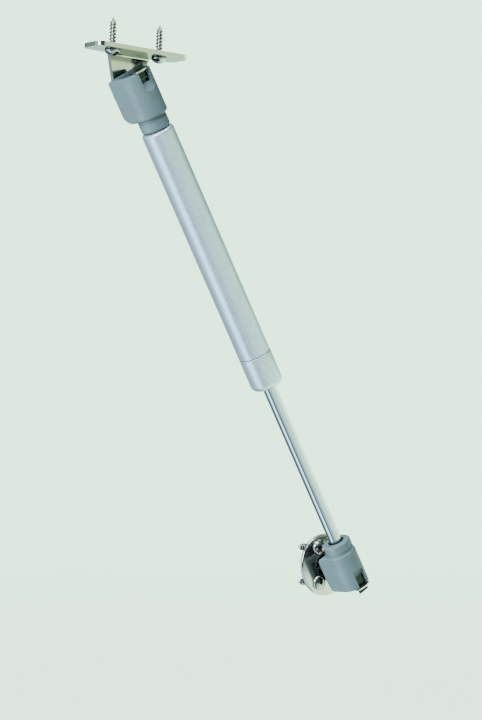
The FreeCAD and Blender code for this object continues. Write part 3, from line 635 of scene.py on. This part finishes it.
def threaded_shank(shape, grip, segments=36, rows_per_turn=14):
    """Shank from the end of the neck down to the point, with its helical thread."""
    start = -grip
    tip = start - SCREW_REACH
    steps = int(rows_per_turn * SCREW_REACH / THREAD_PITCH)
    rings = []
    for step in range(steps):
        z = start - SCREW_REACH * step / steps
        rings.append([shape.verts.new((thread_radius(z, a, start, tip) * math.cos(a),
                                       thread_radius(z, a, start, tip) * math.sin(a), z))
                      for a in angles_round(segments)])
    point = shape.verts.new((0, 0, tip))
    for high, low in zip(rings, rings[1:]):
        for i in range(segments):
            j = (i + 1) % segments
            shape.faces.new((low[i], low[j], high[j], high[i]))
    for i in range(segments):
        shape.faces.new((point, rings[-1][(i + 1) % segments], rings[-1][i]))
    shape.faces.new(rings[0])


def head_outline(grip, steps=10):
    """Neck and pan head: flat underside, short straight rim and a shallow dome."""
    rise = SCREW_HEAD_HEIGHT - SCREW_HEAD_RIM
    sphere = (SCREW_HEAD_R ** 2 + rise ** 2) / (2 * rise)
    half = math.asin(SCREW_HEAD_R / sphere)
    outline = [(0, -grip), (SCREW_NECK_R, -grip), (SCREW_NECK_R, 0),
               (SCREW_HEAD_R - SCREW_HEAD_EDGE, 0), (SCREW_HEAD_R, SCREW_HEAD_EDGE)]
    for step in range(steps + 1):
        angle = half * (1 - step / steps)
        outline.append((sphere * math.sin(angle),
                        SCREW_HEAD_HEIGHT - sphere + sphere * math.cos(angle)))
    return outline


def recess_cutter():
    """Phillips recess: two crossed wings that taper to a blunt point."""
    shape = bmesh.new()
    square = Matrix.Rotation(math.pi / 4, 4, "Z")
    squash = Matrix.Diagonal(RECESS_SQUASH)
    sink = Matrix.Translation((0, 0, SCREW_HEAD_HEIGHT - RECESS_SINK))
    for turn in (0, math.pi / 2):
        wing = bmesh.ops.create_cone(shape, cap_ends=True, segments=4, radius1=RECESS_TIP_R,
                                     radius2=RECESS_MOUTH_R, depth=RECESS_LENGTH)["verts"]
        turned = Matrix.Rotation(turn, 4, "Z")
        bmesh.ops.transform(shape, matrix=square, verts=wing)
        bmesh.ops.transform(shape, matrix=sink @ turned @ squash, verts=wing)
    return shape


def cut_away(target, cutter):
    """Take the cutter out of the target for good, and delete the cutter."""
    modifier = target.modifiers.new("cut", "BOOLEAN")
    modifier.object = cutter
    modifier.solver = "EXACT"
    modifier.use_self = True
    graph = bpy.context.evaluated_depsgraph_get()
    mesh = bpy.data.meshes.new_from_object(target.evaluated_get(graph))
    target.modifiers.clear()
    target.data = mesh
    bpy.data.objects.remove(cutter)


def screw_at(shape, grip, matrix):
    """Add one screw to the shape, with its seat on z = 0 of the matrix's frame."""
    head = bmesh.new()
    turned_shell(head, head_outline(grip))
    head_object = new_object("head", head)
    cut_away(head_object, new_object("recess", recess_cutter()))
    screw = bmesh.new()
    screw.from_mesh(head_object.data)
    bpy.data.objects.remove(head_object)
    threaded_shank(screw, grip)
    screw.transform(matrix)
    mesh = bpy.data.meshes.new("screw")
    screw.to_mesh(mesh)
    screw.free()
    shape.from_mesh(mesh)
    bpy.data.meshes.remove(mesh)


def screw_group(name, node, body, grip, places):
    """All the screws of one node as one piece that stands for it."""
    shape = bmesh.new()
    for matrix in places:
        screw_at(shape, grip, matrix)
    piece = new_object(name, shape)
    piece.data.materials.append(FINISHES["screw_nickel"])
    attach(piece, body)
    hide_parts(node)


def cabinet_screw_places():
    """Three screws on a circle in the disc, with their heads towards +X."""
    outwards = Matrix.Rotation(math.pi / 2, 4, "Y")
    for angle, turn in zip(angles_round(3), DISC_SCREW_TURNS):
        spot = Matrix.Translation((DISC_SEAT, DISC_SCREW_CIRCLE_R * math.cos(angle),
                                   DISC_SCREW_CIRCLE_R * math.sin(angle)))
        yield spot @ outwards @ Matrix.Rotation(math.radians(turn), 4, "Z")


def flap_screw_places():
    """Two screws along the plate, with their heads down."""
    plate = Matrix.Translation(UPPER_BALL) @ Matrix.Rotation(PLATE_LEAN, 4, "X")
    down = Matrix.Rotation(math.pi, 4, "X")
    for side, turn in zip((-1, 1), PLATE_SCREW_TURNS):
        spot = Matrix.Translation((PLATE_MIDDLE, side * PLATE_SCREWS_APART / 2, PLATE_SEAT))
        yield plate @ spot @ down @ Matrix.Rotation(math.radians(turn), 4, "Z")


def quarter_round(radius, z, size, start, steps=8):
    """Points on a quarter circle of that size about (radius, z), from start in degrees."""
    for i in range(steps + 1):
        angle = math.radians(start + 90 * i / steps)
        yield radius + size * math.cos(angle), z + size * math.sin(angle)


def end_cap():
    """The thimble on the rod end of the cylinder, with a rounded rim just short of the tube."""
    rim = SEAM - SEAM_GAP
    outline = [
        (CAP_HOLE_R, CAP_START),
        *quarter_round(CAP_R - CAP_ROUND, CAP_START + CAP_ROUND, CAP_ROUND, -90),
        *quarter_round(CAP_R - SEAM_ROUND, rim - SEAM_ROUND, SEAM_ROUND, 0),
        (NECK_R, rim),
        (NECK_R, NECK_START),
        (WIPER_R, NECK_START),
        (WIPER_R, WIPER_START),
        (CAP_HOLE_R, WIPER_START),
        (CAP_HOLE_R, CAP_START),
    ]
    shape = bmesh.new()
    turned_shell(shape, outline, segments=96)
    bmesh.ops.remove_doubles(shape, verts=shape.verts, dist=1e-6)
    shape.transform(Matrix.Translation(LOWER_BALL) @ Matrix.Rotation(LEAN, 4, "X"))
    piece = new_object("rod_end_cap_rounded", shape)
    piece.data.materials.append(FINISHES["silver_cap"])
    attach(piece, "cylinder")
    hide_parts("rod_end_cap")


# ---------------------------------------------------------------- the scene

make_camera()
make_world()
make_floor()
dress_cad()
screw_group("cabinet_screws_threaded", "cabinet_screws", "cabinet_bracket", DISC_SEAT,
            cabinet_screw_places())
screw_group("flap_screws_threaded", "flap_screws", "flap_mount", PLATE_THICKNESS,
            flap_screw_places())
end_cap()
make_softboxes()
